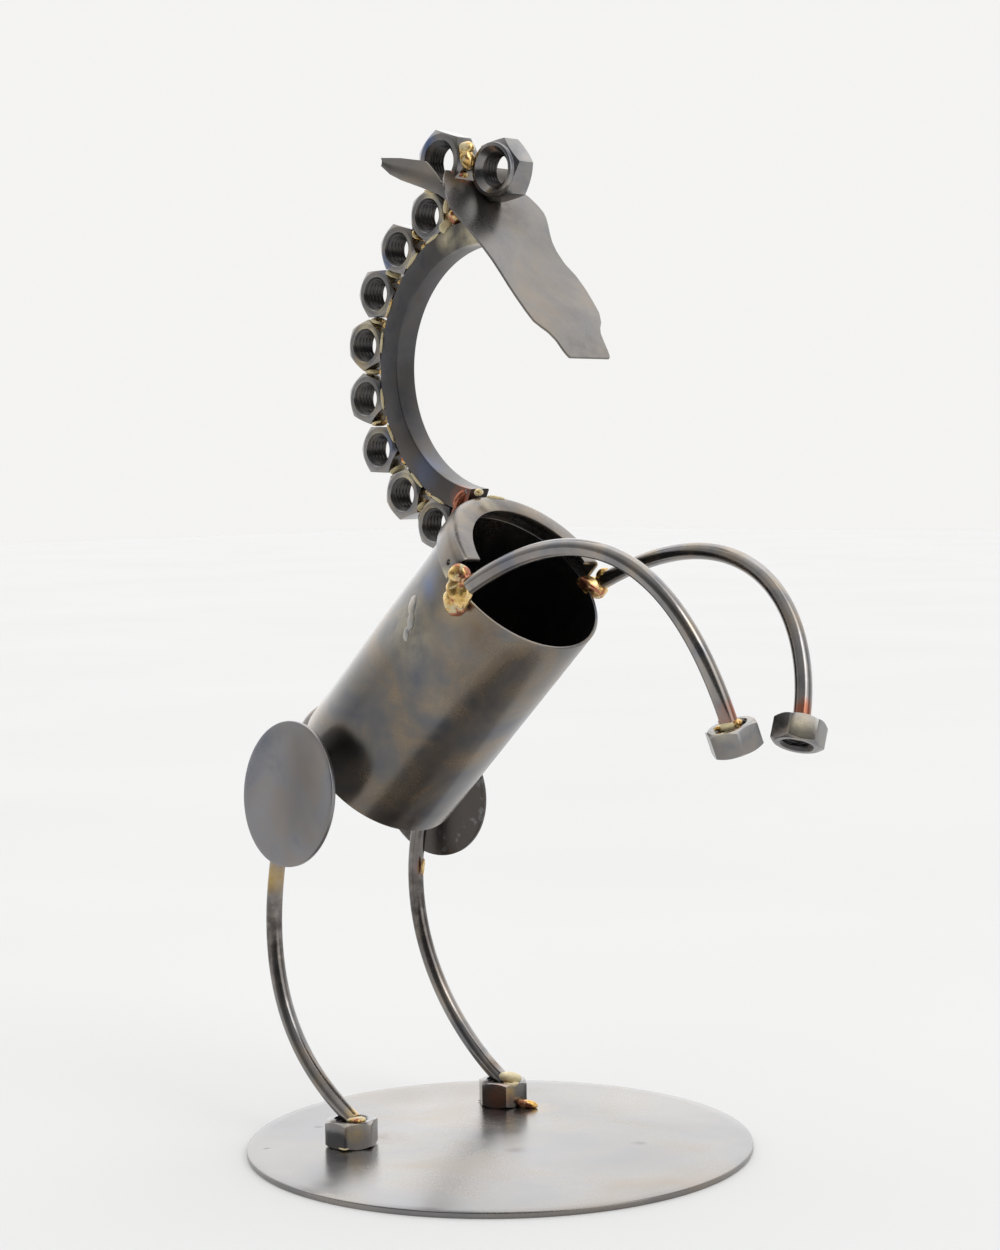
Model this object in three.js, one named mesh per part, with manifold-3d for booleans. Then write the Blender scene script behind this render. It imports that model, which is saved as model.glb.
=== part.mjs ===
// Welded scrap metal horse: a slanted tube for a body, bent rods for legs, hex nuts for hooves,
// mane and eyes, a square bar for the neck and one cut steel sheet for the face and ears.
// Millimetres, +Z up, the horse looks along +X, its right side is at -Y.
import * as THREE from 'three';
import { mergeVertices } from 'three/addons/utils/BufferGeometryUtils.js';
import Module from 'manifold-3d';

const wasm = await Module();
wasm.setup();

const GAP = 0.3;
const RIGHT = -1;
const LEFT = 1;

const BASE = { radius: 127, thickness: 3.175, edge: 0.5 };
const ROD_DIAMETER = 8.3;
const HIND_NUT = { flats: 23.8, height: 13.3, bore: 15.9 };
const FRONT_NUT = { flats: 22.2, height: 12.4, bore: 14.6 };
const MANE_NUT = { flats: 23.3, height: 13.9, bore: 15.9 };
const EYE_NUT = {
  flats: 28, hexHeight: 12.5, collarDiameter: 26.6, collarHeight: 2.3, bore: 17.4,
  seat: 22.4, seatDepth: 3.2, mouth: 20.8, mouthDepth: 1.9,
};

const TUBE = { diameter: 88.9, wall: 1.65, length: 142, lean: 46.42, foot: [-82.75, 0, 187.57] };
const COLLAR = {
  bandInner: 44.75, bandOuter: 47.2, overlap: 1.5, reach: 13.1, flange: 2, flangeInner: 35.1, corner: 5,
  endOffset: 1.75, endTurn: 4.2, notch: 3,
};
const NECK = { centre: [0.9, 390.7], inner: 60.6, outer: 72.9, width: 12.7, top: 79, foot: 262 };
const MANE_ANGLES = [115.2, 133.6, 152.0, 170.5, 189.0, 207.9, 227.4, 246.0];
const MANE_TURNS = [0, 1, -1, 0, 1, 0, -1, 4];

const DISC = { radius: 37.1, thickness: 2.5, segments: 48 };
const DISCS = {
  right: { centre: [-90.6, -57.5, 177.1], yaw: 4, tilt: 6 },
  left: { centre: [-104.3, 57.9, 167.3], yaw: -4, tilt: -6 },
};

// Hind legs: the bend seen from the side as [x, z], the hoof's place and turn.
const HIND_LEGS = {
  right: {
    bend: [[-90.4, 197.7], [-152.1, 62.3], [-67.9, 27.4], [-46.9, 15.5]], hoof: [-49.3, -56], turn: 33.4,
  },
  left: {
    bend: [[-78, 204.3], [-155, 98.8], [-73.7, 27.6], [-48.7, 15.1]], hoof: [-50.6, 54], turn: -8.9,
  },
};
const HIND_SPREAD = { tube: 49.1, flareFrom: 150, floor: 17 };

const FRONT_LEGS = {
  right: { curve: [[24.5, -49.2, 280.2], [135, -40.2, 349.8], [171, -35.2, 249.8], [174.5, -25, 220]],
    turn: 49.5 },
  left: { curve: [[22.9, 49.2, 280.1], [129.4, 43.8, 330.7], [168.5, 47.9, 273.5], [175.3, 20.6, 218.4]],
    turn: 17.3 },
};
const FRONT_ROD_PAST_HOOF = 3.5;

const FACE = { slope: 50.8, thickness: 1.2, nose: [63, 5, 392.5] };
// Edges of the face sheet: distance up from the nose, width to the right, width to the left.
const FACE_EDGES = [
  [0, 14.6, 13.2], [1, 15.4, 14], [5, 16.1, 15.2], [11, 16.5, 16.6], [16, 18.5, 18], [19.5, 21.5, 20.2],
  [23, 24, 23.4], [29.5, 25, 26.6], [38, 25.7, 27.4], [45.5, 26, 27.7], [54, 26, 26.9], [62, 26.2, 24.2],
  [70, 27.2, 24], [76.5, 28.3, 25.2], [83, 29.8, 27.8], [88, 31.3, 30.2], [93, 32.5, 32.3],
  [97, 32.6, 33.1], [101.5, 31.8, 32.2], [107, 29.4, 29.8], [111, 27.6, 26.5], [115.5, 25.4, 23.5],
];
const FACE_TOP = { wing: 121.5, wingWidth: 20.4, wingInner: 17, middle: 115.6 };
// Ear stations: x behind the face, lower edge z, upper edge z.
const EAR = {
  spread: 30.5, bow: 1.2,
  stations: [
    [2, 469.2, 485.2], [-8, 474.4, 489.2], [-20, 478.8, 492], [-34, 483.5, 494.4], [-42, 487, 495.2],
    [-48.5, 491.8, 495.8],
  ],
  slit: [[1.5, 474.4], [-8.4, 480], [-3.4, 485.2], [8, 488], [8, 474.4]],
};
const EYES = {
  right: { x: -24.5, z: 493.4, outerFace: -8.6, side: RIGHT, turn: 12 },
  left: { x: 5.9, z: 487.1, outerFace: 12.2, side: LEFT, turn: 39.2 },
};
const TAIL = {
  curve: [[-114.2, 0, 215], [-136, 0, 214.5], [-153, 0, 200], [-148, 0, 156]],
};

const steel = (color, roughness = 0.42, metalness = 0.85) =>
  new THREE.MeshStandardMaterial({ color, roughness, metalness });
const root = new THREE.Group();
root.name = 'scrap_metal_horse';

const radians = THREE.MathUtils.degToRad;

function toSolid(geometry) {
  const plain = geometry.index ? geometry.clone() : geometry;
  plain.deleteAttribute('normal');
  plain.deleteAttribute('uv');
  const merged = mergeVertices(plain, 1e-4);
  return new wasm.Manifold(new wasm.Mesh({
    numProp: 3,
    vertProperties: new Float32Array(merged.attributes.position.array),
    triVerts: new Uint32Array(merged.index.array),
  }));
}

function toGeometry(solid) {
  const mesh = solid.getMesh();
  const geometry = new THREE.BufferGeometry();
  geometry.setAttribute('position', new THREE.BufferAttribute(mesh.vertProperties, 3));
  geometry.setIndex(new THREE.BufferAttribute(mesh.triVerts, 1));
  geometry.computeVertexNormals();
  return geometry;
}

function add(name, geometry, material) {
  const mesh = new THREE.Mesh(geometry, material);
  mesh.name = name;
  root.add(mesh);
  return mesh;
}

// A turned solid about Z from a closed [radius, z] profile.
function turned(profile, segments) {
  const points = profile.map(([r, z]) => new THREE.Vector2(r, z));
  return new THREE.LatheGeometry(points, segments).rotateX(Math.PI / 2);
}

function cylinder(radius, from, to, segments = 48) {
  return turned([[0, from], [radius, from], [radius, to], [0, to]], segments);
}

function closed(profile) {
  return [...profile, profile[0]];
}

// Places a geometry built along +Z so that its axis follows a direction.
function aim(geometry, direction, turn, position) {
  const axis = new THREE.Vector3(...direction).normalize();
  const flip = new THREE.Quaternion().setFromUnitVectors(new THREE.Vector3(0, 0, 1), axis);
  const spin = new THREE.Quaternion().setFromAxisAngle(new THREE.Vector3(0, 0, 1), radians(turn));
  geometry.applyQuaternion(flip.multiply(spin));
  return geometry.translate(...position);
}

// A hex prism about Z with a flat facing +X and chamfered corners, centred on z = 0.
function hexPrism(flats, from, to) {
  const corner = flats / Math.sqrt(3);
  const chamfer = (corner - flats / 2) * 0.62;
  const outline = new THREE.Shape();
  for (let i = 0; i < 6; i += 1) {
    const angle = radians(30 + 60 * i);
    const method = i === 0 ? 'moveTo' : 'lineTo';
    outline[method](corner * Math.cos(angle), corner * Math.sin(angle));
  }
  outline.closePath();
  const prism = new THREE.ExtrudeGeometry(outline, { depth: to - from, bevelEnabled: false });
  prism.translate(0, 0, from);
  const edge = flats / 2 - 0.15;
  const round = turned([
    [0, from - 0.01], [edge, from - 0.01], [corner + 0.3, from + chamfer],
    [corner + 0.3, to - chamfer], [edge, to + 0.01], [0, to + 0.01],
  ], 24);
  return toSolid(prism).intersect(toSolid(round));
}

function hexNut({ flats, height, bore }) {
  const half = height / 2;
  const sink = bore / 2 + 0.8;
  const hole = turned([
    [0, -half - 1], [sink + 1, -half - 1], [sink, -half], [bore / 2, -half + 0.8],
    [bore / 2, half - 0.8], [sink, half], [sink + 1, half + 1], [0, half + 1],
  ], 24);
  return hexPrism(flats, -half, half).subtract(toSolid(hole));
}

// A nut with a round collar on its far end: the hex starts at z = 0 and faces -Z.
function collaredNut({
  flats, hexHeight, collarDiameter, collarHeight, bore, seat, seatDepth, mouth, mouthDepth,
}) {
  const total = hexHeight + collarHeight;
  const collar = cylinder(collarDiameter / 2, hexHeight - 2, total, 30);
  const hole = turned([
    [0, -1], [mouth / 2, -1], [mouth / 2, 0], [bore / 2, mouthDepth], [bore / 2, total - seatDepth],
    [seat / 2, total], [seat / 2, total + 1], [0, total + 1],
  ], 24);
  return hexPrism(flats, 0, hexHeight).add(toSolid(collar)).subtract(toSolid(hole));
}

function rod(curve, steps) {
  const sides = 12;
  const radius = (ROD_DIAMETER / 2) * 1.01;
  const section = new THREE.Shape();
  for (let i = 0; i < sides; i += 1) {
    const angle = (2 * Math.PI * i) / sides;
    section[i === 0 ? 'moveTo' : 'lineTo'](radius * Math.cos(angle), radius * Math.sin(angle));
  }
  section.closePath();
  return new THREE.ExtrudeGeometry(section, { steps, bevelEnabled: false, extrudePath: curve });
}

const bezier = (points) => new THREE.CubicBezierCurve3(...points.map((p) => new THREE.Vector3(...p)));

// Base plate.
const { radius: baseR, thickness: baseT, edge } = BASE;
add('base_plate', turned([
  [0, 0], [baseR - edge, 0], [baseR, edge], [baseR, baseT - edge], [baseR - edge, baseT], [0, baseT],
], 80), steel(0x8d8b88, 0.36));

// Body tube, its foot closed by a floor, and the half collar round the back of its mouth.
const lean = radians(TUBE.lean);
const onTube = new THREE.Matrix4()
  .makeTranslation(...TUBE.foot)
  .multiply(new THREE.Matrix4().makeRotationY(lean));
const tubeR = TUBE.diameter / 2;
const tubeInner = tubeR - TUBE.wall;
add('body_tube', turned([
  [0, 0], [tubeR, 0], [tubeR, TUBE.length], [tubeInner, TUBE.length], [tubeInner, TUBE.wall], [0, TUBE.wall],
], 72).applyMatrix4(onTube), steel(0x77726d, 0.38));

const rimZ = TUBE.length;
const roundedCorner = [0, 30, 60, 90].map((angle) => [
  COLLAR.bandOuter - COLLAR.corner * (1 - Math.cos(radians(angle))),
  rimZ + COLLAR.reach - COLLAR.corner * (1 - Math.sin(radians(angle))),
]);
const collarRing = turned(closed([
  [COLLAR.bandInner, rimZ - COLLAR.overlap],
  [COLLAR.bandOuter, rimZ - COLLAR.overlap],
  ...roundedCorner,
  [COLLAR.flangeInner, rimZ + COLLAR.reach],
  [COLLAR.flangeInner, rimZ + COLLAR.reach - COLLAR.flange],
  [COLLAR.bandInner, rimZ + COLLAR.reach - COLLAR.flange],
]), 72);
// The cut that leaves the half nearest the neck (tube-local -X).
const collarCut = new THREE.BoxGeometry(120, 140, 40)
  .translate(60 - COLLAR.endOffset, 0, rimZ + 5)
  .rotateZ(radians(-COLLAR.endTurn));
const notch = cylinder(COLLAR.notch / 2, 40, 52, 20)
  .rotateY(Math.PI / 2)
  .rotateZ(radians(-103))
  .translate(0, 0, rimZ + 4.5);
const collar = toSolid(collarRing).subtract(toSolid(collarCut)).subtract(toSolid(notch));
add('collar', toGeometry(collar).applyMatrix4(onTube), steel(0x6b6661, 0.45));

// Neck bar: a square bar bent to a C, cut to the collar below and to the face sheet above.
const slope = radians(FACE.slope);
const faceNormal = new THREE.Vector3(Math.sin(slope), 0, Math.cos(slope));
const faceDown = new THREE.Vector3(Math.cos(slope), 0, -Math.sin(slope));
const nose = new THREE.Vector3(...FACE.nose);
const onFace = new THREE.Matrix4()
  .makeBasis(faceDown.clone().negate(), new THREE.Vector3(0, -1, 0), faceNormal)
  .setPosition(nose);

const neckShape = new THREE.Shape();
const [neckX, neckZ] = NECK.centre;
neckShape.absarc(neckX, neckZ, NECK.outer, radians(NECK.top), radians(NECK.foot), false);
neckShape.absarc(neckX, neckZ, NECK.inner, radians(NECK.foot), radians(NECK.top), true);
neckShape.closePath();
const neckSolid = toSolid(new THREE.ExtrudeGeometry(neckShape, {
  depth: NECK.width, bevelEnabled: false, curveSegments: 44,
}).rotateX(Math.PI / 2).translate(0, NECK.width / 2, 0));
const collarKeepOut = toSolid(
  cylinder(COLLAR.bandOuter + GAP, rimZ - 20, rimZ + COLLAR.reach + GAP, 96).applyMatrix4(onTube));
const behindFace = toSolid(new THREE.BoxGeometry(200, 200, 60)
  .translate(60, 0, 30 - GAP)
  .applyMatrix4(onFace));
add('neck_bar', toGeometry(neckSolid.subtract(collarKeepOut).subtract(behindFace)), steel(0x6e6a68, 0.5));

// Mane nuts, one flat against the bar.
const maneCorner = MANE_NUT.flats / Math.sqrt(3);
MANE_ANGLES.forEach((angle, i) => {
  const phi = radians(angle);
  const turn = MANE_TURNS[i];
  const maneRadius = NECK.outer + GAP + maneCorner * Math.cos(radians(30 - Math.abs(turn)));
  const place = [neckX + maneRadius * Math.cos(phi), 0, neckZ + maneRadius * Math.sin(phi)];
  const nut = toGeometry(hexNut(MANE_NUT))
    .rotateX(Math.PI / 2)
    .rotateY(-radians(angle + turn))
    .translate(...place);
  add(`mane_nut_${i + 1}`, nut, steel(0x7a7672, 0.4));
});

// Face sheet: cut outline, a wing that stands higher on the right, and both ears bent back.
const faceShape = new THREE.Shape();
const rightEdge = FACE_EDGES.map(([up, right]) => [up, right]);
const leftEdge = FACE_EDGES.map(([up, , left]) => [up, -left]).reverse();
const topEdge = [
  [FACE_TOP.wing, FACE_TOP.wingWidth],
  [FACE_TOP.wing, FACE_TOP.wingInner],
  [FACE_TOP.middle, FACE_TOP.wingInner - 0.4],
];
const outline = [...rightEdge, ...topEdge, ...leftEdge];
outline.forEach(([up, across], i) => faceShape[i === 0 ? 'moveTo' : 'lineTo'](up, across));
faceShape.closePath();
const faceSheet = toSolid(new THREE.ExtrudeGeometry(faceShape, {
  depth: FACE.thickness, bevelEnabled: false,
}).applyMatrix4(onFace));

// One ear: a tapering strip lofted through its stations, bowed across its height.
function earSolid(side) {
  const rows = 5;
  const positions = [];
  const index = [];
  const columns = EAR.stations.length;
  for (const layer of [0, 1]) {
    EAR.stations.forEach(([x, low, high]) => {
      for (let j = 0; j < rows; j += 1) {
        const v = j / (rows - 1);
        const bow = EAR.bow * 4 * v * (1 - v) * Math.min(1, (high - low) / 12);
        const y = EAR.spread - bow - layer * FACE.thickness;
        positions.push(x, FACE.nose[1] + side * y, low + (high - low) * v);
      }
    });
  }
  const at = (layer, i, j) => layer * columns * rows + i * rows + j;
  const quad = (a, b, c, d) => index.push(a, b, c, a, c, d);
  for (let i = 0; i + 1 < columns; i += 1) {
    for (let j = 0; j + 1 < rows; j += 1) {
      quad(at(0, i, j), at(0, i, j + 1), at(0, i + 1, j + 1), at(0, i + 1, j));
      quad(at(1, i, j), at(1, i + 1, j), at(1, i + 1, j + 1), at(1, i, j + 1));
    }
    quad(at(0, i, 0), at(0, i + 1, 0), at(1, i + 1, 0), at(1, i, 0));
    quad(at(0, i, rows - 1), at(1, i, rows - 1), at(1, i + 1, rows - 1), at(0, i + 1, rows - 1));
  }
  const last = columns - 1;
  for (let j = 0; j + 1 < rows; j += 1) {
    quad(at(0, 0, j), at(1, 0, j), at(1, 0, j + 1), at(0, 0, j + 1));
    quad(at(0, last, j), at(0, last, j + 1), at(1, last, j + 1), at(1, last, j));
  }
  if (side === LEFT) {
    for (let k = 0; k < index.length; k += 3) {
      [index[k + 1], index[k + 2]] = [index[k + 2], index[k + 1]];
    }
  }
  const geometry = new THREE.BufferGeometry();
  geometry.setAttribute('position', new THREE.Float32BufferAttribute(positions, 3));
  geometry.setIndex(index);
  const slitShape = new THREE.Shape(EAR.slit.map(([x, z]) => new THREE.Vector2(x, z)));
  const slit = new THREE.ExtrudeGeometry(slitShape, { depth: 16, bevelEnabled: false })
    .rotateX(Math.PI / 2)
    .translate(0, FACE.nose[1] + side * EAR.spread + 8, 0);
  return toSolid(geometry).subtract(toSolid(slit));
}

const beforeFace = toSolid(new THREE.BoxGeometry(240, 200, 60)
  .translate(60, 0, 30 + FACE.thickness / 2)
  .applyMatrix4(onFace));
let faceSolid = faceSheet;
for (const side of [RIGHT, LEFT]) {
  faceSolid = faceSolid.add(earSolid(side).subtract(beforeFace));
}
add('face_plate', toGeometry(faceSolid), steel(0x7c7873, 0.48));

// Eye nuts: hex faces outward, collars toward each other.
for (const [name, eye] of Object.entries(EYES)) {
  const nut = toGeometry(collaredNut(EYE_NUT))
    .rotateX(eye.side * Math.PI / 2)
    .rotateY(-radians(eye.turn))
    .translate(eye.x, eye.outerFace, eye.z);
  add(`eye_nut_${name}`, nut, steel(name === 'left' ? 0x6f6b68 : 0x827e7a, 0.36));
}

// Thigh discs, welded on the outer side of the hind leg rods.
for (const [name, disc] of Object.entries(DISCS)) {
  const half = DISC.thickness / 2;
  const shape = turned([
    [0, -half], [DISC.radius - 0.4, -half], [DISC.radius, -half + 0.4],
    [DISC.radius, half - 0.4], [DISC.radius - 0.4, half], [0, half],
  ], DISC.segments);
  shape.rotateX(Math.PI / 2 - radians(disc.tilt)).rotateZ(-radians(disc.yaw)).translate(...disc.centre);
  add(`thigh_disc_${name}`, shape, steel(0x87848a, 0.4));
}

// Hind legs: a bent rod from the tube's side down into the hoof, spreading outward on the way.
class HindLeg extends THREE.Curve {
  constructor({ bend, hoof }, side) {
    super();
    this.bend = bezier(bend.map(([x, z]) => [x, 0, z]));
    this.spread = Math.abs(hoof[1]) - HIND_SPREAD.tube;
    this.side = side;
  }

  getPoint(t, target = new THREE.Vector3()) {
    const { x, z } = this.bend.getPoint(t);
    const { tube, flareFrom, floor } = HIND_SPREAD;
    const drop = Math.max(0, flareFrom - z) / (flareFrom - floor);
    return target.set(x, this.side * (tube + this.spread * drop ** 1.7), z);
  }
}

for (const [name, side] of [['right', RIGHT], ['left', LEFT]]) {
  const leg = HIND_LEGS[name];
  add(`hind_leg_rod_${name}`, rod(new HindLeg(leg, side), 26), steel(0x837d76, 0.35));
  const hoof = toGeometry(hexNut(HIND_NUT))
    .rotateZ(radians(leg.turn))
    .translate(...leg.hoof, BASE.thickness + GAP * 0.1 + HIND_NUT.height / 2);
  add(`hind_hoof_nut_${name}`, hoof, steel(0x7c7c80, 0.38));
}

// Front legs: rods that start on the tube's sides below the collar, with a nut round each end.
for (const [name, leg] of Object.entries(FRONT_LEGS)) {
  const reach = bezier(leg.curve);
  const end = new THREE.Vector3(...leg.curve[3]);
  const heading = reach.getTangent(1);
  const path = new THREE.CurvePath();
  path.add(reach);
  path.add(new THREE.LineCurve3(end, end.clone().addScaledVector(heading, FRONT_ROD_PAST_HOOF)));
  add(`front_leg_rod_${name}`, rod(path, 28), steel(0x837d76, 0.35));
  const nut = toGeometry(hexNut(FRONT_NUT));
  aim(nut, heading.clone().negate().toArray(), leg.turn, end.toArray());
  add(`front_hoof_nut_${name}`, nut, steel(0x787478, 0.4));
}

// Tail: a short bent rod at the back of the tube's foot.
add('tail', rod(bezier(TAIL.curve), 10), steel(0x6d6a66, 0.45));

export default root;
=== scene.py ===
"""Looks of the welded scrap metal horse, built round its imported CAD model.

Lengths are millimetres in the model's frame up to the last section, whose lengths are metres.
+Z is up, the horse looks along +X and its right side is at -Y.
"""

import math

import bmesh
import bpy
import numpy as np
from mathutils import Matrix, Vector, noise


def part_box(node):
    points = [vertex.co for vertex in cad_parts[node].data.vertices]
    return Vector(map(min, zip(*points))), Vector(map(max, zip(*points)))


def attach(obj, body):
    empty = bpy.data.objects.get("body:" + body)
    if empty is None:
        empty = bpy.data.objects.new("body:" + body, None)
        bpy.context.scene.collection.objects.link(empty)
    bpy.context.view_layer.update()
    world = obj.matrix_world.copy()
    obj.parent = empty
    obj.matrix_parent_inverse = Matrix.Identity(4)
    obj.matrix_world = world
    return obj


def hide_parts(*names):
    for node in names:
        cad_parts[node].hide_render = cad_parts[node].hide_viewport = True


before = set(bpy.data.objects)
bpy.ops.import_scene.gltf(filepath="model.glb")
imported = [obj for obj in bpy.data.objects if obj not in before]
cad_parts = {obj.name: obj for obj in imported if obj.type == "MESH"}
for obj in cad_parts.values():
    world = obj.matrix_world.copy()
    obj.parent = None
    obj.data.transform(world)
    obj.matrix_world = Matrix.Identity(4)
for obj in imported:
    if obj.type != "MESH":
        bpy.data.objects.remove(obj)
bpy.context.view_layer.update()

MM = 0.001
# The sign of y on each side.
SIDES = {"right": -1, "left": 1}


def rad(angle):
    return math.radians(angle)


def vec(*values):
    return np.array(values, float)


def unit(v):
    v = np.asarray(v, float)
    return v / np.linalg.norm(v)


def node_box(name):
    """Low and high corner of a CAD node's box."""
    low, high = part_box(name)
    return np.array(low) / MM, np.array(high) / MM


def node_centre(name):
    low, high = node_box(name)
    return (low + high) / 2


# ---------------------------------------------------------------- dimensions
# The driving dimensions are those of the solids. Only the ears bow deeper here.
ROD_RADIUS = 4.15
LEAN = 46.42
TUBE_RADIUS, TUBE_WALL, TUBE_LENGTH = 44.45, 1.65, 142.0
TUBE_FOOT = vec(-82.75, 0, 187.57)
TUBE_AXIS = vec(math.sin(rad(LEAN)), 0, math.cos(rad(LEAN)))
TUBE_BACK = vec(-math.cos(rad(LEAN)), 0, math.sin(rad(LEAN)))
ACROSS = vec(0, 1, 0)

# The collar's radii about the tube's axis, how far it reaches down and up from the tube's rim, and the
# degrees round the axis that it covers. The notch is a small drilled hole near its right end.
COLLAR = {
    "inner": 44.75, "outer": 47.2, "overlap": 1.5, "reach": 13.1, "flange": 2.0, "flange_inner": 35.1,
    "corner": 5.0, "sweep": (88.0, 263.6),
}
NOTCH = {"angle": -103, "radius": 1.5, "above_rim": 4.5}

NECK_CENTRE = vec(0.9, 0, 390.7)
NECK_INNER, NECK_OUTER, NECK_WIDTH = 60.6, 72.9, 12.7
NECK_TOP, NECK_FOOT = 79.0, 262.0
GAP = 0.3
MANE_ANGLES = [115.2, 133.6, 152.0, 170.5, 189.0, 207.9, 227.4, 246.0]
MANE_TURNS = [0, 1, -1, 0, 1, 0, -1, 4]

# The hind legs' bends seen from the side, and how far each hoof stands from the middle.
HIND_LEGS = {
    "right": {"bend": [(-90.4, 0, 197.7), (-152.1, 0, 62.3), (-67.9, 0, 27.4), (-46.9, 0, 15.5)], "hoof": 56},
    "left": {"bend": [(-78, 0, 204.3), (-155, 0, 98.8), (-73.7, 0, 27.6), (-48.7, 0, 15.1)], "hoof": 54},
}
HIND_TURNS = {"right": 33.4, "left": -8.9}
HIND_SPREAD = {"tube": 49.1, "flare_from": 150, "floor": 17}
FRONT_LEGS = {
    "right": [(24.5, -49.2, 280.2), (135, -40.2, 349.8), (171, -35.2, 249.8), (174.5, -25, 220)],
    "left": [(22.9, 49.2, 280.1), (129.4, 43.8, 330.7), (168.5, 47.9, 273.5), (175.3, 20.6, 218.4)],
}
FRONT_TURNS = {"right": 49.5, "left": 17.3}
FRONT_PAST_HOOF = 3.5
TAIL = [(-114.2, 0, 215), (-136, 0, 214.5), (-153, 0, 200), (-148, 0, 156)]
DISCS = {
    "right": {"centre": (-90.6, -57.5, 177.1), "yaw": 4, "tilt": 6},
    "left": {"centre": (-104.3, 57.9, 167.3), "yaw": -4, "tilt": -6},
}
DISC_RADIUS, DISC_HALF = 37.1, 1.25

# The face sheet lies on a slope through its nose. Each row of its edges is the distance up from the
# nose, the width to the right and the width to the left. A wing stands higher on the right.
FACE_SLOPE = 50.8
FACE_NOSE = vec(63, 5, 392.5)
FACE_THICKNESS = 1.2
FACE_UP = vec(-math.cos(rad(FACE_SLOPE)), 0, math.sin(rad(FACE_SLOPE)))
FACE_OUT = vec(math.sin(rad(FACE_SLOPE)), 0, math.cos(rad(FACE_SLOPE)))
FACE_EDGES = [
    (0, 14.6, 13.2), (1, 15.4, 14), (5, 16.1, 15.2), (11, 16.5, 16.6), (16, 18.5, 18), (19.5, 21.5, 20.2),
    (23, 24, 23.4), (29.5, 25, 26.6), (38, 25.7, 27.4), (45.5, 26, 27.7), (54, 26, 26.9), (62, 26.2, 24.2),
    (70, 27.2, 24), (76.5, 28.3, 25.2), (83, 29.8, 27.8), (88, 31.3, 30.2), (93, 32.5, 32.3),
    (97, 32.6, 33.1), (101.5, 31.8, 32.2), (107, 29.4, 29.8), (111, 27.6, 26.5), (115.5, 25.4, 23.5),
]
FACE_TOP = {"wing": 121.5, "wing_width": 20.4, "wing_inner": 17, "middle": 115.6}
# Ear stations are (x, lower edge z, upper edge z), and the slit at its root is a line of (z, x).
EAR = {
    "spread": 30.5, "bow": 2.0,
    "stations": [(2, 469.2, 485.2), (-8, 474.4, 489.2), (-20, 478.8, 492), (-34, 483.5, 494.4),
                 (-42, 487, 495.2), (-48.5, 491.8, 495.8)],
    "slit": [(474.4, 1.5), (480, -8.4), (485.2, -3.4), (488, 8)],
}
# Each eye nut's middle, the y of its hexagon's outer face, and how far it is turned.
EYES = {
    "right": {"x": -24.5, "z": 493.4, "face": -8.6, "turn": 12.0},
    "left": {"x": 5.9, "z": 487.1, "face": 12.2, "turn": 39.2},
}
MANE_NUT = {"flats": 23.3, "height": 13.9, "bore": 15.9}
HIND_NUT = {"flats": 23.8, "height": 13.3, "bore": 15.9}
FRONT_NUT = {"flats": 22.2, "height": 12.4, "bore": 14.6}
EYE_NUT = {"flats": 28, "height": 12.5, "bore": 17.4, "pitch": 2.0}
EYE_COLLAR = {
    "radius": 13.3, "height": 2.3, "seat": 11.2, "seat_depth": 3.2, "mouth": 10.4, "mouth_depth": 1.9,
}
NUT_CORNER = 0.55
THREAD_PITCH, THREAD_DEPTH = 2.31, 1.15
EDGES = {"base": 0.7, "tube": 0.45, "collar": 0.35, "neck": 0.7, "disc": 0.6}
ON_AXIS = 1e-10

# Azimuth that the horse is seen from, and the axes across, up and toward that viewer.
VIEW = 44.6
VIEW_AXES = (vec(math.cos(rad(VIEW)), math.sin(rad(VIEW)), 0), vec(0, 0, 1),
             vec(math.sin(rad(VIEW)), -math.cos(rad(VIEW)), 0))


# ---------------------------------------------------------------- mesh tools
def piece(name, verts, faces, material, node=None, sharp=38, second=None):
    """A smooth shaded mesh, with hard edges where faces turn by more than sharp degrees.

    It replaces a CAD node if one is named. second is a first face and the material from there on.
    """
    mesh = bpy.data.meshes.new(name)
    mesh.from_pydata([tuple(v) for v in np.asarray(verts) * MM], [], [list(f) for f in faces])
    mesh.validate()
    mesh.materials.append(material)
    if second:
        start, other = second
        mesh.materials.append(other)
        for face in mesh.polygons[start:]:
            face.material_index = 1
    obj = bpy.data.objects.new(name, mesh)
    bpy.context.scene.collection.objects.link(obj)
    tidy_mesh(mesh, sharp)
    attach(obj, "root")
    if node:
        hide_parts(node)
    return obj


def tidy_mesh(mesh, sharp):
    """Joins points that meet, turns all faces outward and marks the hard edges."""
    bm = bmesh.new()
    bm.from_mesh(mesh)
    bmesh.ops.remove_doubles(bm, verts=bm.verts, dist=1e-6)
    bmesh.ops.recalc_face_normals(bm, faces=bm.faces)
    bm.to_mesh(mesh)
    bm.free()
    mesh.shade_smooth()
    mesh.set_sharp_from_angle(angle=rad(sharp))


def bake(obj, sharp):
    """Replaces an object's mesh by what its modifiers make of it."""
    depsgraph = bpy.context.evaluated_depsgraph_get()
    made = bpy.data.meshes.new_from_object(obj.evaluated_get(depsgraph))
    obj.modifiers.clear()
    obj.data = made
    tidy_mesh(made, sharp)


def grid_faces(rows, columns, wrap_columns=False, wrap_rows=False, start=0):
    """Four-sided faces between rows of points, with the first point's number as start."""
    faces = []
    for i in range(rows if wrap_rows else rows - 1):
        for j in range(columns if wrap_columns else columns - 1):
            a, b = i * columns + j, i * columns + (j + 1) % columns
            k = ((i + 1) % rows) * columns
            faces.append((start + a, start + b, start + k + (j + 1) % columns, start + k + j))
    return faces


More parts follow.
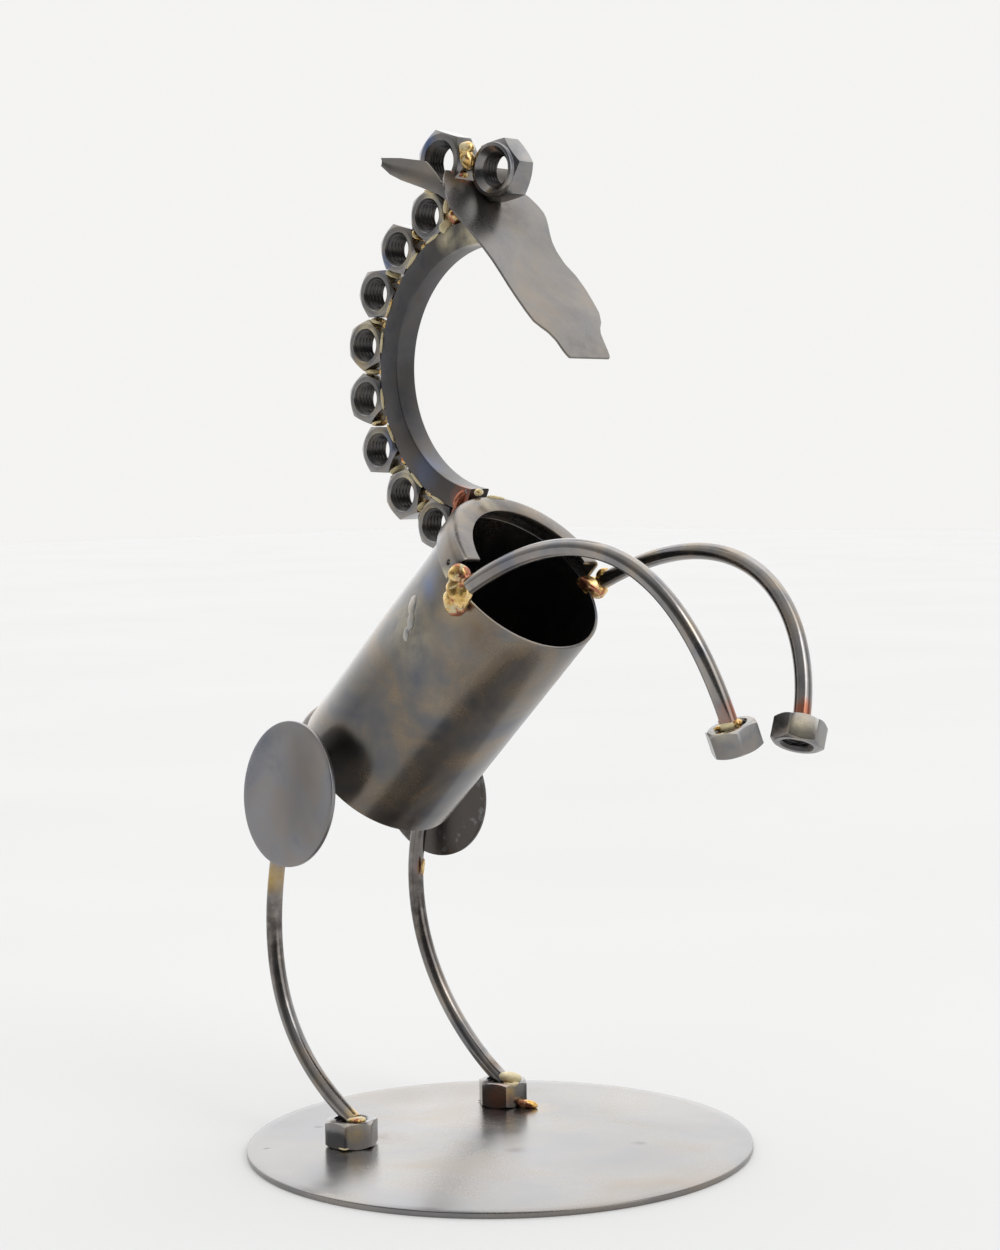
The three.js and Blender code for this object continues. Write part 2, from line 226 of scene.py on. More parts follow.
def turned(profile, segments):
    """A solid turned about Z from a profile of (radius, z) that starts and ends on the axis or closes."""
    angles = np.linspace(0, 2 * math.pi, segments, endpoint=False)
    profile = np.asarray(profile, float)
    rings = np.stack([
        np.outer(profile[:, 0], np.cos(angles)),
        np.outer(profile[:, 0], np.sin(angles)),
        np.repeat(profile[:, 1:2], segments, axis=1),
    ], axis=-1)
    closed = not (profile[0, 0] < 1e-9 and profile[-1, 0] < 1e-9)
    return rings.reshape(-1, 3), grid_faces(len(profile), segments, True, closed)


def place(verts, z_axis, origin, x_axis=None):
    """Moves points so that their Z follows z_axis, with X as near x_axis as it can be."""
    z = unit(z_axis)
    x = vec(1, 0, 0) if x_axis is None else np.asarray(x_axis, float)
    x = unit(x - z * (x @ z))
    y = np.cross(z, x)
    return verts @ np.array([x, y, z]) + origin


def rounded(points, radius, steps=3):
    """Rounds the corners of a 2-D polyline by a radius."""
    points = [np.asarray(p, float) for p in points]
    out = [points[0]]
    for before, at, after in zip(points, points[1:], points[2:]):
        r = min(radius, np.linalg.norm(at - before) * 0.45, np.linalg.norm(after - at) * 0.45)
        start, end = at + unit(before - at) * r, at + unit(after - at) * r
        for k in range(steps + 1):
            t = k / steps
            out.append((1 - t) ** 2 * start + 2 * t * (1 - t) * at + t * t * end)
    return out + [points[-1]]


def frames_along(points):
    """Side vectors that turn as little as possible along a path."""
    points = np.asarray(points, float)
    tangents = np.gradient(points, axis=0)
    tangents /= np.linalg.norm(tangents, axis=1)[:, None]
    off_path = vec(0.13, 0.98, 0.11)
    side = unit(np.cross(tangents[0], off_path))
    frames = []
    for t in tangents:
        side = unit(side - t * (side @ t))
        frames.append((t, side, np.cross(t, side)))
    return frames


def rod(name, points, material, node):
    """A round rod along a path, with eased ends."""
    sides = 32
    points = np.asarray(points, float)
    frames = frames_along(points)
    angles = np.linspace(0, 2 * math.pi, sides, endpoint=False)
    rings = []

    def ring(i, r, shift=0.0):
        t, u, v = frames[i]
        centre = points[i] + t * shift
        rings.extend(centre + r * (math.cos(a) * u + math.sin(a) * v) for a in angles)

    last = len(points) - 1
    end = [(0.001, 0), (ROD_RADIUS - 0.5, 0), (ROD_RADIUS - 0.15, 0.15), (ROD_RADIUS, 0.5)]
    for r, shift in end:
        ring(0, r, shift)
    for i in range(1, last):
        ring(i, ROD_RADIUS)
    for r, shift in reversed(end):
        ring(last, r, -shift)
    piece(name, rings, grid_faces(len(rings) // sides, sides, True), material, node)


def bezier(controls, steps):
    """Points along a cubic curve with four control points."""
    t = np.linspace(0, 1, steps)[:, None]
    a, b, c, d = [np.asarray(p, float) for p in controls]
    return (1 - t) ** 3 * a + 3 * (1 - t) ** 2 * t * b + 3 * (1 - t) * t * t * c + t ** 3 * d


# ---------------------------------------------------------------- materials
class Nodes:
    """A short way to build a node material."""

    def __init__(self, name):
        self.material = bpy.data.materials.new(name)
        self.material.use_nodes = True
        self.tree = self.material.node_tree
        self.shader = self.tree.nodes["Principled BSDF"]
        self.space = self.add("ShaderNodeTexCoord").outputs["Object"]

    def add(self, kind, **settings):
        node = self.tree.nodes.new(kind)
        for key, value in settings.items():
            setattr(node, key, value)
        return node

    def put(self, source, socket):
        """Links another socket to this one, or sets it to a constant."""
        if isinstance(source, bpy.types.NodeSocket):
            self.tree.links.new(source, socket)
        else:
            socket.default_value = source

    def noise(self, scale, detail=4.0, rough=0.55, distortion=0.0, offset=(0, 0, 0)):
        at = self.space
        if any(offset):
            mapping = self.add("ShaderNodeMapping")
            self.put(at, mapping.inputs["Vector"])
            mapping.inputs["Location"].default_value = offset
            at = mapping.outputs["Vector"]
        node = self.add("ShaderNodeTexNoise")
        self.put(at, node.inputs["Vector"])
        node.inputs["Scale"].default_value = scale
        node.inputs["Detail"].default_value = detail
        node.inputs["Roughness"].default_value = rough
        node.inputs["Distortion"].default_value = distortion
        return node.outputs["Fac"]

    def ramp(self, source, stops):
        node = self.add("ShaderNodeValToRGB")
        self.put(source, node.inputs["Fac"])
        band = node.color_ramp
        while len(band.elements) < len(stops):
            band.elements.new(0.5)
        for element, (position, colour) in zip(band.elements, stops):
            element.position = position
            if isinstance(colour, (int, float)):
                colour = (colour, colour, colour)
            element.color = (*colour, 1)
        return node.outputs["Color"]

    def mix(self, factor, a, b, blend="MIX"):
        node = self.add("ShaderNodeMix", data_type="RGBA", blend_type=blend)
        self.put(factor, node.inputs["Factor"])
        self.put(a if isinstance(a, bpy.types.NodeSocket) else (*a, 1), node.inputs["A"])
        self.put(b if isinstance(b, bpy.types.NodeSocket) else (*b, 1), node.inputs["B"])
        return node.outputs["Result"]

    def math(self, operation, *values):
        node = self.add("ShaderNodeMath", operation=operation)
        for value, socket in zip(values, node.inputs):
            self.put(value, socket)
        return node.outputs["Value"]

    def span(self, source, low, high, to_low=0.0, to_high=1.0):
        """Carries the range from low to high over to the range from to_low to to_high."""
        node = self.add("ShaderNodeMapRange")
        self.put(source, node.inputs["Value"])
        for key, value in (("From Min", low), ("From Max", high), ("To Min", to_low), ("To Max", to_high)):
            self.put(value, node.inputs[key])
        return node.outputs["Result"]

    def near(self, centre, radius, soft):
        """1 inside a ball round a point, fading to 0 over the soft share of its radius."""
        mapping = self.add("ShaderNodeMapping")
        self.put(self.space, mapping.inputs["Vector"])
        mapping.inputs["Location"].default_value = [-c * MM for c in centre]
        length = self.add("ShaderNodeVectorMath", operation="LENGTH")
        self.put(mapping.outputs["Vector"], length.inputs[0])
        return self.span(length.outputs["Value"], radius * MM, radius * MM * (1 - soft), 0.0, 1.0)

    def bump(self, height):
        """The surface's direction over a relief whose height is in millimetres."""
        node = self.add("ShaderNodeBump")
        node.inputs["Strength"].default_value = 1.0
        node.inputs["Distance"].default_value = MM
        self.put(height, node.inputs["Height"])
        return node.outputs["Normal"]

    def end(self, colour, metallic, roughness, normal=None):
        self.put(colour if isinstance(colour, bpy.types.NodeSocket) else (*colour, 1),
                 self.shader.inputs["Base Color"])
        self.put(metallic, self.shader.inputs["Metallic"])
        self.put(roughness, self.shader.inputs["Roughness"])
        if normal is not None:
            self.put(normal, self.shader.inputs["Normal"])
        return self.material


def steel(name, tone, warm=0.5, blotch=40.0, rough=0.30, stains_and_shade=(), seed=0.0, contrast=1.0, wave=0.5,
          tint=0.5):
    """Bare hot rolled steel: a grey with brown and blue heat blotches, fine pits and a satin sheen.

    blotch is the scale of its clouds, contrast and tint how far they go, wave the depth of its slow dents
    and stains_and_shade a list of (centre, radius, colour, strength) for real stains and for patches of
    painted shade.
    """
    n = Nodes(name)
    tone = np.asarray(tone, float)
    shift = (seed, seed * 0.37, -seed * 0.61)
    cloud = n.noise(blotch, 5, 0.6, 0.6, offset=shift)
    brown = tone * (1 + tint * vec(0.20, 0.0, -0.24))
    blue = tone * (1 + tint * vec(-0.18, -0.08, 0.16))
    low, high = 0.5 - 0.20 / contrast, 0.5 + 0.20 / contrast
    colour = n.ramp(cloud, [(low, tuple(blue * 0.82)), (0.5, tuple(tone)),
                            (high, tuple(brown * (0.9 + 0.4 * warm)))])
    shade = n.ramp(n.noise(blotch * 0.45, 3, 0.5, 0.4, offset=(seed * 1.7, 0.3, seed)), [
        (0.34, 0.76), (0.62, 1.14)])
    colour = n.mix(1.0, colour, shade, "MULTIPLY")
    ragged = n.span(n.noise(160, 3, 0.6, offset=shift), 0.3, 0.6, 0.35, 1.25) if stains_and_shade else None
    for centre, radius, patch_colour, strength in stains_and_shade:
        amount = n.math("MULTIPLY", n.math("MULTIPLY", n.near(centre, radius, 0.9), ragged), strength)
        colour = n.mix(n.math("MINIMUM", amount, 1.0), colour, patch_colour)
    grain = n.noise(900, 3, 0.7, offset=shift)
    pits = n.noise(260, 4, 0.6, offset=shift)
    roughness = n.span(n.math("ADD", n.math("MULTIPLY", cloud, 0.7), n.math("MULTIPLY", grain, 0.3)),
                       0.3, 0.7, rough - 0.07, rough + 0.10)
    fine = n.math("MULTIPLY", n.math("ADD", n.math("MULTIPLY", grain, 0.35), pits), 0.012)
    slow = n.math("MULTIPLY", n.noise(14, 2, 0.4, offset=shift), wave)
    return n.end(colour, 0.95, roughness, n.bump(n.math("ADD", fine, slow)))


def brazing(name, seed, red=0.45, flux=0.35, gloss=0.20):
    """Brass filler: gold, with a share of it stained copper red and a share under glassy pale flux."""
    n = Nodes(name)
    shift = (seed, -seed, seed * 0.4)
    gold = n.ramp(n.noise(150, 4, 0.6, 0.4, offset=shift), [
        (0.30, (0.26, 0.13, 0.035)), (0.47, (0.60, 0.38, 0.12)), (0.62, (0.86, 0.64, 0.30))])
    reds = n.span(n.noise(110, 4, 0.6, 0.5, offset=(seed + 3, 1, 2)), 0.62 - 0.25 * red, 0.70 - 0.25 * red)
    colour = n.mix(reds, gold, (0.40, 0.15, 0.09))
    glass = n.span(n.noise(130, 4, 0.6, 0.6, offset=(1, seed + 7, 2)), 0.66 - 0.25 * flux, 0.72 - 0.25 * flux)
    colour = n.mix(glass, colour, (0.66, 0.56, 0.33))
    metallic = n.span(glass, 0, 1, 0.9, 0.0)
    roughness = n.span(n.noise(300, 3, 0.6, offset=shift), 0.3, 0.7, gloss - 0.06, gloss + 0.16)
    height = n.math("MULTIPLY", n.noise(260, 3, 0.5, offset=shift), 0.12)
    return n.end(colour, metallic, roughness, n.bump(height))


# Heat and flux colours, then each piece's steel with its stains and patches of painted shade as (centre,
# radius, colour, strength).
COPPER = (0.34, 0.135, 0.085)
STRAW = (0.42, 0.32, 0.17)
BLUE = (0.12, 0.16, 0.27)
PALE = (0.62, 0.55, 0.38)
BRASS = (0.58, 0.40, 0.15)
BROWN = (0.15, 0.10, 0.065)
# A dark tone for mill scale, which also serves as painted shade.
SCALE_AND_SHADE = (0.09, 0.08, 0.075)

base_steel = steel("base_steel", (0.265, 0.253, 0.243), 0.3, 14, 0.24, wave=0.35, stains_and_shade=[
    ((-48, -36, 3), 16, BROWN, 0.5), ((-88, -44, 3), 3.0, SCALE_AND_SHADE, 0.9), ((-76, -89, 3), 2.4, SCALE_AND_SHADE, 0.9),
    ((57, 41, 3), 5, SCALE_AND_SHADE, 0.6), ((20, -9, 3), 7, SCALE_AND_SHADE, 0.5), ((-30, 60, 3), 14, STRAW, 0.35)])
tube_steel = steel("tube_steel", (0.165, 0.156, 0.147), 0.8, 26, 0.22, seed=2.0, contrast=1.3, wave=0.25,
                   tint=0.9, stains_and_shade=[
    ((20, -46, 272), 20, STRAW, 0.35), ((-15, -42, 262), 22, PALE, 0.28), ((-84, -40, 200), 26, SCALE_AND_SHADE, 0.5),
    ((-60, -20, 170), 24, BROWN, 0.35), ((0, -42, 285), 10, BLUE, 0.6), ((28, -40, 262), 14, BROWN, 0.5)])
# Its one dark patch covers all of the left disc and is painted shade.
disc_steel = steel("disc_steel", (0.23, 0.228, 0.238), 0.3, 30, 0.30, seed=5.0, wave=0.5, stains_and_shade=[
    ((-104, 57, 167), 75, SCALE_AND_SHADE, 2.0)])
# The two wide dark patches over the upper hind legs are painted shade that dulls their highlights.
rod_steel = steel("rod_steel", (0.28, 0.263, 0.247), 0.5, 60, 0.16, seed=7.0, wave=0.0, tint=0.6, stains_and_shade=[
    ((174, -26, 231), 9, COPPER, 1.2), ((169, -27, 235), 4.5, BRASS, 1.2),
    ((177.5, 22, 229), 7.5, COPPER, 1.3),
    ((-113, -50, 131), 10.5, BRASS, 1.5), ((-106, 50, 125), 6, COPPER, 0.9), ((-57, 54, 22), 6, BROWN, 1.0),
    ((-47, -56, 20), 6, BRASS, 0.8), ((29, -49, 285), 9, PALE, 0.8), ((30, 49, 284), 8, BRASS, 1.0),
    ((60, -47, 305), 26, BLUE, 0.35), ((-118, -50, 100), 50, SCALE_AND_SHADE, 0.9), ((-112, 50, 105), 50, SCALE_AND_SHADE, 0.9)])
bar_steel = steel("bar_steel", (0.092, 0.089, 0.091), 0.2, 60, 0.30, seed=9.0, wave=0.2, stains_and_shade=[
    ((-14, -6, 326), 9, COPPER, 1.1), ((-4, -6, 456), 12, PALE, 0.7), ((-22, -6, 455), 9, PALE, 0.6),
    ((-3, 0, 330), 6, BRASS, 1.2), ((-40, -6, 340), 12, BLUE, 0.4)])
collar_steel = steel("collar_steel", (0.205, 0.188, 0.172), 0.8, 60, 0.28, seed=11.0, wave=0.2, stains_and_shade=[
    ((-14, -12, 322), 8, COPPER, 0.9), ((7, -4, 327), 9, PALE, 0.8), ((14, -46, 288), 7, PALE, 0.9),
    ((-8, -40, 300), 16, BLUE, 0.35), ((40, 40, 292), 10, STRAW, 0.4)])
# The first two dark patches, high on the sheet below the eye nuts, are painted shade; the last one darkens
# the sheet towards the nose.
sheet_steel = steel("sheet_steel", (0.205, 0.19, 0.174), 0.6, 24, 0.30, seed=13.0, wave=0.9, stains_and_shade=[
    ((-2, -6, 458), 17, SCALE_AND_SHADE, 0.6), ((6, 10, 470), 18, SCALE_AND_SHADE, 0.75), ((-13, -14, 470), 5, BRASS, 0.8),
    ((-12, -6, 484), 8, COPPER, 0.9), ((30, 5, 420), 26, BROWN, 0.25), ((62, 5, 394), 34, SCALE_AND_SHADE, 0.4)])
nut_steel = steel("nut_steel", (0.25, 0.240, 0.232), 0.4, 90, 0.20, seed=15.0, wave=0.0, stains_and_shade=[
    ((-33, -9, 502), 9, BLUE, 1.2), ((-27, -9, 484), 9, BROWN, 0.7), ((-17, 0, 494), 8, BRASS, 1.0),
    ((-32, -7, 476), 6, PALE, 1.0), ((-24, -7, 468), 6, PALE, 0.8), ((-52, -7, 448), 7, PALE, 0.7),
    ((-66, -7, 446), 8, BLUE, 0.7), ((-72, -7, 426), 7, PALE, 0.9), ((-80, -7, 410), 10, PALE, 1.0),
    ((-86, -7, 395), 7, STRAW, 0.7), ((-80, -7, 376), 8, PALE, 0.6), ((-68, -7, 352), 9, BLUE, 0.9),
    ((-74, -7, 358), 6, PALE, 0.7), ((-52, -7, 336), 8, PALE, 0.8), ((-38, -7, 318), 9, STRAW, 0.6),
    ((-60, -66, 8), 7, PALE, 0.7), ((-40, -62, 12), 7, STRAW, 0.7), ((-44, 44, 9), 9, COPPER, 0.9),
    ((-38, 48, 12), 5, BRASS, 0.8), ((-56, 44, 9), 9, BROWN, 0.8), ((176, -32, 225), 8, PALE, 0.8),
    ((170, -30, 226), 5, BRASS, 0.8), ((183, 12, 222), 8, PALE, 0.5)])
# The threads' dark steel is partly dark oxide and partly painted shade in the bores.
bore_oxide_and_shade = steel("bore_oxide_and_shade", (0.085, 0.08, 0.077), 0.4, 90, 0.32, seed=17.0, wave=0.0)
braze = brazing("braze", 1.0)
braze_pale = brazing("braze_pale", 4.0, red=0.1, flux=0.75)
braze_red = brazing("braze_red", 6.0, red=1.3, flux=0.1)
flux = brazing("flux", 8.0, red=0.0, flux=1.5, gloss=0.3)
bead = steel("bead", (0.50, 0.49, 0.46), 0.3, 120, 0.45, seed=21.0, wave=0.3)


# ---------------------------------------------------------------- base plate
def base_plate():
    low, high = node_box("base_plate")
    radius, thick = (high[0] - low[0]) / 2, high[2] - low[2]
    flat = radius - 6
    edge = rounded([(flat, 0), (radius, 0), (radius, thick), (flat, thick)], EDGES["base"], 3)
    inner = np.linspace(flat, 0, 34)[1:]
    profile = [(r, 0) for r in inner[::-1]] + [tuple(p) for p in edge] + [(r, thick) for r in inner]
    profile[0], profile[-1] = (ON_AXIS, 0), (ON_AXIS, thick)
    verts, faces = turned(profile, 160)
    piece("base_plate_look", verts, faces, base_steel, "base_plate")


# ---------------------------------------------------------------- tube and collar
def on_tube(verts):
    """Stands points that were made about Z on the tube's foot, along its axis."""
    return place(verts, TUBE_AXIS, TUBE_FOOT, -TUBE_BACK)


def body_tube():
    r, inner, top = TUBE_RADIUS, TUBE_RADIUS - TUBE_WALL, TUBE_LENGTH
    outer = [(ON_AXIS, 0.0), (r * 0.5, 0), (r, 0)] + [(r, z) for z in np.linspace(0, top, 12)[1:]]
    inside = [(inner, z) for z in np.linspace(top, TUBE_WALL, 12)]
    floor = [(inner * 0.5, TUBE_WALL), (ON_AXIS, TUBE_WALL)]
    verts, faces = turned(rounded(outer + inside + floor, EDGES["tube"], 3), 144)
    piece("body_tube_look", on_tube(verts), faces, tube_steel, "body_tube")


def collar_section():
    """The collar's section as (radius, z): a band with a rounded corner and a flange inward."""
    c, r = COLLAR, COLLAR["corner"]
    z0, z1 = TUBE_LENGTH - c["overlap"], TUBE_LENGTH + c["reach"]
    corner = [(c["outer"] - r * (1 - math.cos(rad(a))), z1 - r * (1 - math.sin(rad(a))))
              for a in range(0, 91, 10)]
    return np.array([(c["inner"], z0), (c["outer"], z0), *corner, (c["flange_inner"], z1),
                     (c["flange_inner"], z1 - c["flange"]), (c["inner"], z1 - c["flange"])])


def notch_cutter():
    """The drill that cuts the collar's notch, crosswise to the tube's axis."""
    radius, near, far = NOTCH["radius"], 40, 52
    drill, faces = turned([(ON_AXIS, near), (radius, near), (radius, far), (ON_AXIS, far)], 24)
    out = vec(math.cos(rad(NOTCH["angle"])), math.sin(rad(NOTCH["angle"])), 0)
    drill = place(drill, out, vec(0, 0, TUBE_LENGTH + NOTCH["above_rim"]), (0, 0, 1))
    cutter = bpy.data.objects.new("drill", bpy.data.meshes.new("drill"))
    cutter.data.from_pydata([tuple(v) for v in on_tube(drill) * MM], [], faces)
    bpy.context.scene.collection.objects.link(cutter)
    return cutter


def collar():
    section = collar_section()
    sweep = np.radians(np.linspace(*COLLAR["sweep"], 90))
    rings = [np.stack([section[:, 0] * math.cos(a), section[:, 0] * math.sin(a), section[:, 1]], 1)
             for a in sweep]
    verts = np.concatenate(rings)
    k = len(section)
    faces = grid_faces(len(sweep), k, True)
    faces += [tuple(range(k))[::-1], tuple(range(len(verts) - k, len(verts)))]
    obj = piece("collar_look", on_tube(verts), faces, collar_steel, "collar", 30)
    bevel = obj.modifiers.new("bevel", "BEVEL")
    bevel.width = EDGES["collar"] * MM
    bevel.segments = 2
    bevel.limit_method = "ANGLE"
    bevel.angle_limit = rad(40)
    cutter = notch_cutter()
    hole = obj.modifiers.new("hole", "BOOLEAN")
    hole.operation = "DIFFERENCE"
    hole.object = cutter
    hole.solver = "EXACT"
    bake(obj, 30)
    bpy.data.objects.remove(cutter)


# ---------------------------------------------------------------- neck
def neck_point(radius, y, angle):
    return vec(NECK_CENTRE[0] + radius * math.cos(angle), y, NECK_CENTRE[2] + radius * math.sin(angle))


def meets_collar(point):
    along = (point - TUBE_FOOT) @ TUBE_AXIS
    off_axis = np.linalg.norm(point - TUBE_FOOT - along * TUBE_AXIS)
    return off_axis < COLLAR["outer"] + GAP and along < TUBE_LENGTH + COLLAR["reach"] + GAP


def meets_face(point):
    return (point - FACE_NOSE) @ FACE_OUT > -GAP


def neck_bar():
    """The bent square bar, each of its long lines ending at the face sheet above and the collar below."""
    half = NECK_WIDTH / 2
    fine_steps, past_head, rings = 1500, 500, 120
    corners = [(NECK_INNER, -half), (NECK_OUTER, -half), (NECK_OUTER, half), (NECK_INNER, half)]
    section = rounded(corners + corners[:2], EDGES["neck"], 3)[1:-1]
    steps = np.radians(np.linspace(NECK_TOP, NECK_FOOT, fine_steps))
    lines = []
    for radius, y in section:
        points = np.array([neck_point(radius, y, a) for a in steps])
        start = next(i for i, p in enumerate(points) if not meets_face(p))
        at_collar = (i for i, p in enumerate(points) if i > start + past_head and meets_collar(p))
        end = next(at_collar, len(points)) - 1
        at = np.linspace(start, end, rings).astype(int)
        lines.append(points[at])
    verts = np.stack(lines, 1).reshape(-1, 3)
    k = len(section)
    faces = grid_faces(rings, k, True)
    faces += [tuple(range(k))[::-1], tuple(range(len(verts) - k, len(verts)))]
    piece("neck_bar_look", verts, faces, bar_steel, "neck_bar", 40)


# ---------------------------------------------------------------- nuts
def hex_outline(flats, corner_radius):
    """A hexagon with rounded corners as (angle, radius), a flat facing angle 0."""
    centre = flats / math.sqrt(3) - corner_radius / math.cos(rad(30))

    def on_corner(middle, turn):
        """A point on the arc of the corner that stands at one angle, in the direction of the other."""
        return vec(centre * math.cos(rad(middle)) + corner_radius * math.cos(rad(turn)),
                   centre * math.sin(rad(middle)) + corner_radius * math.sin(rad(turn)))

    out = []
    for middle in range(30, 390, 60):
        out.extend(on_corner(middle, middle - 30 + 60 * step / 4) for step in range(5))
        start, end = out[-1], on_corner(middle + 60, middle + 30)
        out.extend(start + (end - start) * share for share in np.linspace(0, 1, 9)[1:-1])
    out = np.array(out)
    return np.arctan2(out[:, 1], out[:, 0]), np.hypot(out[:, 0], out[:, 1])


def nut_mesh(flats, height, bore, pitch=THREAD_PITCH, collar=None):
    """A chamfered hex nut about Z from z = 0 up, with a cut thread and, if asked, a round collar on top.

    Gives points, faces and the number of the first face of the threaded bore.
    """
    angle, reach = hex_outline(flats, NUT_CORNER)
    total = height + (collar["height"] if collar else 0)
    washer = flats / 2 * 0.955
    rings = []

    def ring(radius, z):
        radius = np.broadcast_to(radius, reach.shape)
        z = np.broadcast_to(z, reach.shape)
        rings.append(np.stack([radius * np.cos(angle), radius * np.sin(angle), z], 1))

    slope = np.maximum(reach - washer, 0) * math.tan(rad(30))
    crest = bore / 2
    mouth, mouth_depth = (collar["mouth"], collar["mouth_depth"]) if collar else (crest + 0.6, 0.9)
    seat, seat_depth = (collar["seat"], collar["seat_depth"]) if collar else (mouth, mouth_depth)
    # From the lower bore edge out, up the flats, and back in at the top.
    ring(mouth, 0.2)
    ring(mouth + 0.25, 0.0)
    ring(washer - 0.5, 0.0)
    ring(washer - 0.1, 0.04)
    ring(washer + (reach - washer) * 0.12, 0.08 + slope * 0.12)
    ring(reach - 0.05, np.maximum(slope - 0.05, 0.1))
    ring(reach, slope + 0.25)
    ring(reach, height / 2)
    ring(reach, height - slope - 0.25)
    ring(reach - 0.05, np.minimum(height - slope + 0.05, height - 0.1))
    ring(washer + (reach - washer) * 0.12, height - 0.08 - slope * 0.12)
    if collar:
        rim = collar["radius"]
        ring(washer - 0.2, height - 0.02)
        ring(rim + 0.1, height + 0.05)
        ring(rim, height + 0.4)
        ring(rim, total - 0.5)
        ring(rim - 0.15, total - 0.15)
        ring(rim - 0.5, total)
    else:
        ring(washer - 0.1, height - 0.04)
        ring(washer - 0.5, height)
    ring(seat + 0.25, total)
    ring(seat, total - 0.2)
    high, low = total - seat_depth, mouth_depth
    thread_start = len(rings)
    ring(crest + 0.1, high + 0.1)
    for z in np.arange(high, low - 0.01, -pitch / 9):
        phase = (z / pitch + angle / (2 * math.pi)) % 1.0
        thread = np.clip(1.15 - np.abs(2 * phase - 1) * 1.3, 0, 1)
        fade = min(1.0, high - z + 0.2, z - low + 0.2)
        ring(crest - THREAD_DEPTH * fade * (1 - thread), z)
    ring(crest + 0.1, low - 0.1)
    verts = np.concatenate(rings)
    return verts, grid_faces(len(rings), len(angle), True, True), thread_start * len(angle)


def nut(name, node, shape, z_axis, x_axis, origin):
    """Places a nut, its threaded bore in darker steel that is partly dark oxide and partly painted shade."""
    verts, faces, bore_from = shape
    verts = place(verts, z_axis, origin, x_axis)
    piece(name, verts, faces, nut_steel, node, 34, (bore_from, bore_oxide_and_shade))


def hex_nut(name, node, size, z_axis, x_axis, middle):
    z = unit(z_axis)
    nut(name, node, nut_mesh(**size), z, x_axis, middle - z * size["height"] / 2)


def mane():
    for i, (angle, turn) in enumerate(zip(MANE_ANGLES, MANE_TURNS), 1):
        facing = vec(math.cos(rad(angle + turn)), 0, math.sin(rad(angle + turn)))
        hex_nut(f"mane_nut_{i}_look", f"mane_nut_{i}", MANE_NUT, ACROSS, facing, node_centre(f"mane_nut_{i}"))


def hooves():
    for side in SIDES:
        turn = rad(HIND_TURNS[side])
        hex_nut(f"hind_hoof_{side}_look", f"hind_hoof_nut_{side}", HIND_NUT, (0, 0, 1),
                (math.cos(turn), math.sin(turn), 0), node_centre(f"hind_hoof_nut_{side}"))
        controls = [np.asarray(p, float) for p in FRONT_LEGS[side]]
        up = unit(controls[2] - controls[3])
        turn = rad(FRONT_TURNS[side])
        flip = Vector((0, 0, 1)).rotation_difference(Vector(up))
        x_axis = np.array(flip @ Vector((math.cos(turn), math.sin(turn), 0)))
        hex_nut(f"front_hoof_{side}_look", f"front_hoof_nut_{side}", FRONT_NUT, up, x_axis, controls[3])


def eyes():
    for side, sign in SIDES.items():
        eye = EYES[side]
        facing = vec(math.cos(rad(eye["turn"])), 0, math.sin(rad(eye["turn"])))
        shape = nut_mesh(**EYE_NUT, collar=EYE_COLLAR)
        nut(f"eye_nut_{side}_look", f"eye_nut_{side}", shape, (0, -sign, 0), facing,
            vec(eye["x"], eye["face"], eye["z"]))


# ---------------------------------------------------------------- legs, tail, discs
def hind_leg_points(side, steps=90):
    leg = HIND_LEGS[side]
    points = bezier(leg["bend"], steps)
    s = HIND_SPREAD
    drop = np.maximum(0, s["flare_from"] - points[:, 2]) / (s["flare_from"] - s["floor"])
    points[:, 1] = SIDES[side] * (s["tube"] + (leg["hoof"] - s["tube"]) * drop ** 1.7)
    return points


def legs():
    for side in SIDES:
        rod(f"hind_leg_{side}_look", hind_leg_points(side), rod_steel, f"hind_leg_rod_{side}")
        curve = bezier(FRONT_LEGS[side], 90)
        tip = unit(curve[-1] - curve[-2])
        points = np.concatenate([curve, [curve[-1] + tip * FRONT_PAST_HOOF]])
        rod(f"front_leg_{side}_look", points, rod_steel, f"front_leg_rod_{side}")
    rod("tail_look", bezier(TAIL, 40), rod_steel, "tail")


def discs():
    radius, half = DISC_RADIUS, DISC_HALF
    flat = radius - 3
    rim = rounded([(flat, -half), (radius, -half), (radius, half), (flat, half)], EDGES["disc"], 3)
    middle = [(ON_AXIS, -half), (20, -half)]
    profile = middle + [tuple(p) for p in rim] + [(r, -z) for r, z in reversed(middle)]
    verts, faces = turned(profile, 120)
    for side, disc in DISCS.items():
        yaw, tilt = rad(disc["yaw"]), rad(disc["tilt"])
        normal = vec(math.sin(yaw) * math.cos(tilt), math.cos(yaw) * math.cos(tilt), -math.sin(tilt))
        node = f"thigh_disc_{side}"
        placed = place(verts, normal, vec(*disc["centre"]))
        piece(f"{node}_look", placed, faces, disc_steel, node)


# ---------------------------------------------------------------- face sheet
def rim_faces(rows, columns):
    """The narrow faces round two sheets of rows times columns points that lie one behind the other."""
    k = rows * columns
    rim = list(range(columns)) + [i * columns + columns - 1 for i in range(1, rows)]
    rim += [(rows - 1) * columns + j for j in range(columns - 2, -1, -1)]
    rim += [i * columns for i in range(rows - 2, 0, -1)]
    return [(a, b, b + k, a + k) for a, b in zip(rim, rim[1:] + rim[:1])]


def sheet_faces(rows, columns):
    """Faces of a thin sheet whose front points come first and whose back points follow."""
    k = rows * columns
    back = [tuple(reversed(f)) for f in grid_faces(rows, columns, start=k)]
    return grid_faces(rows, columns) + back + rim_faces(rows, columns)


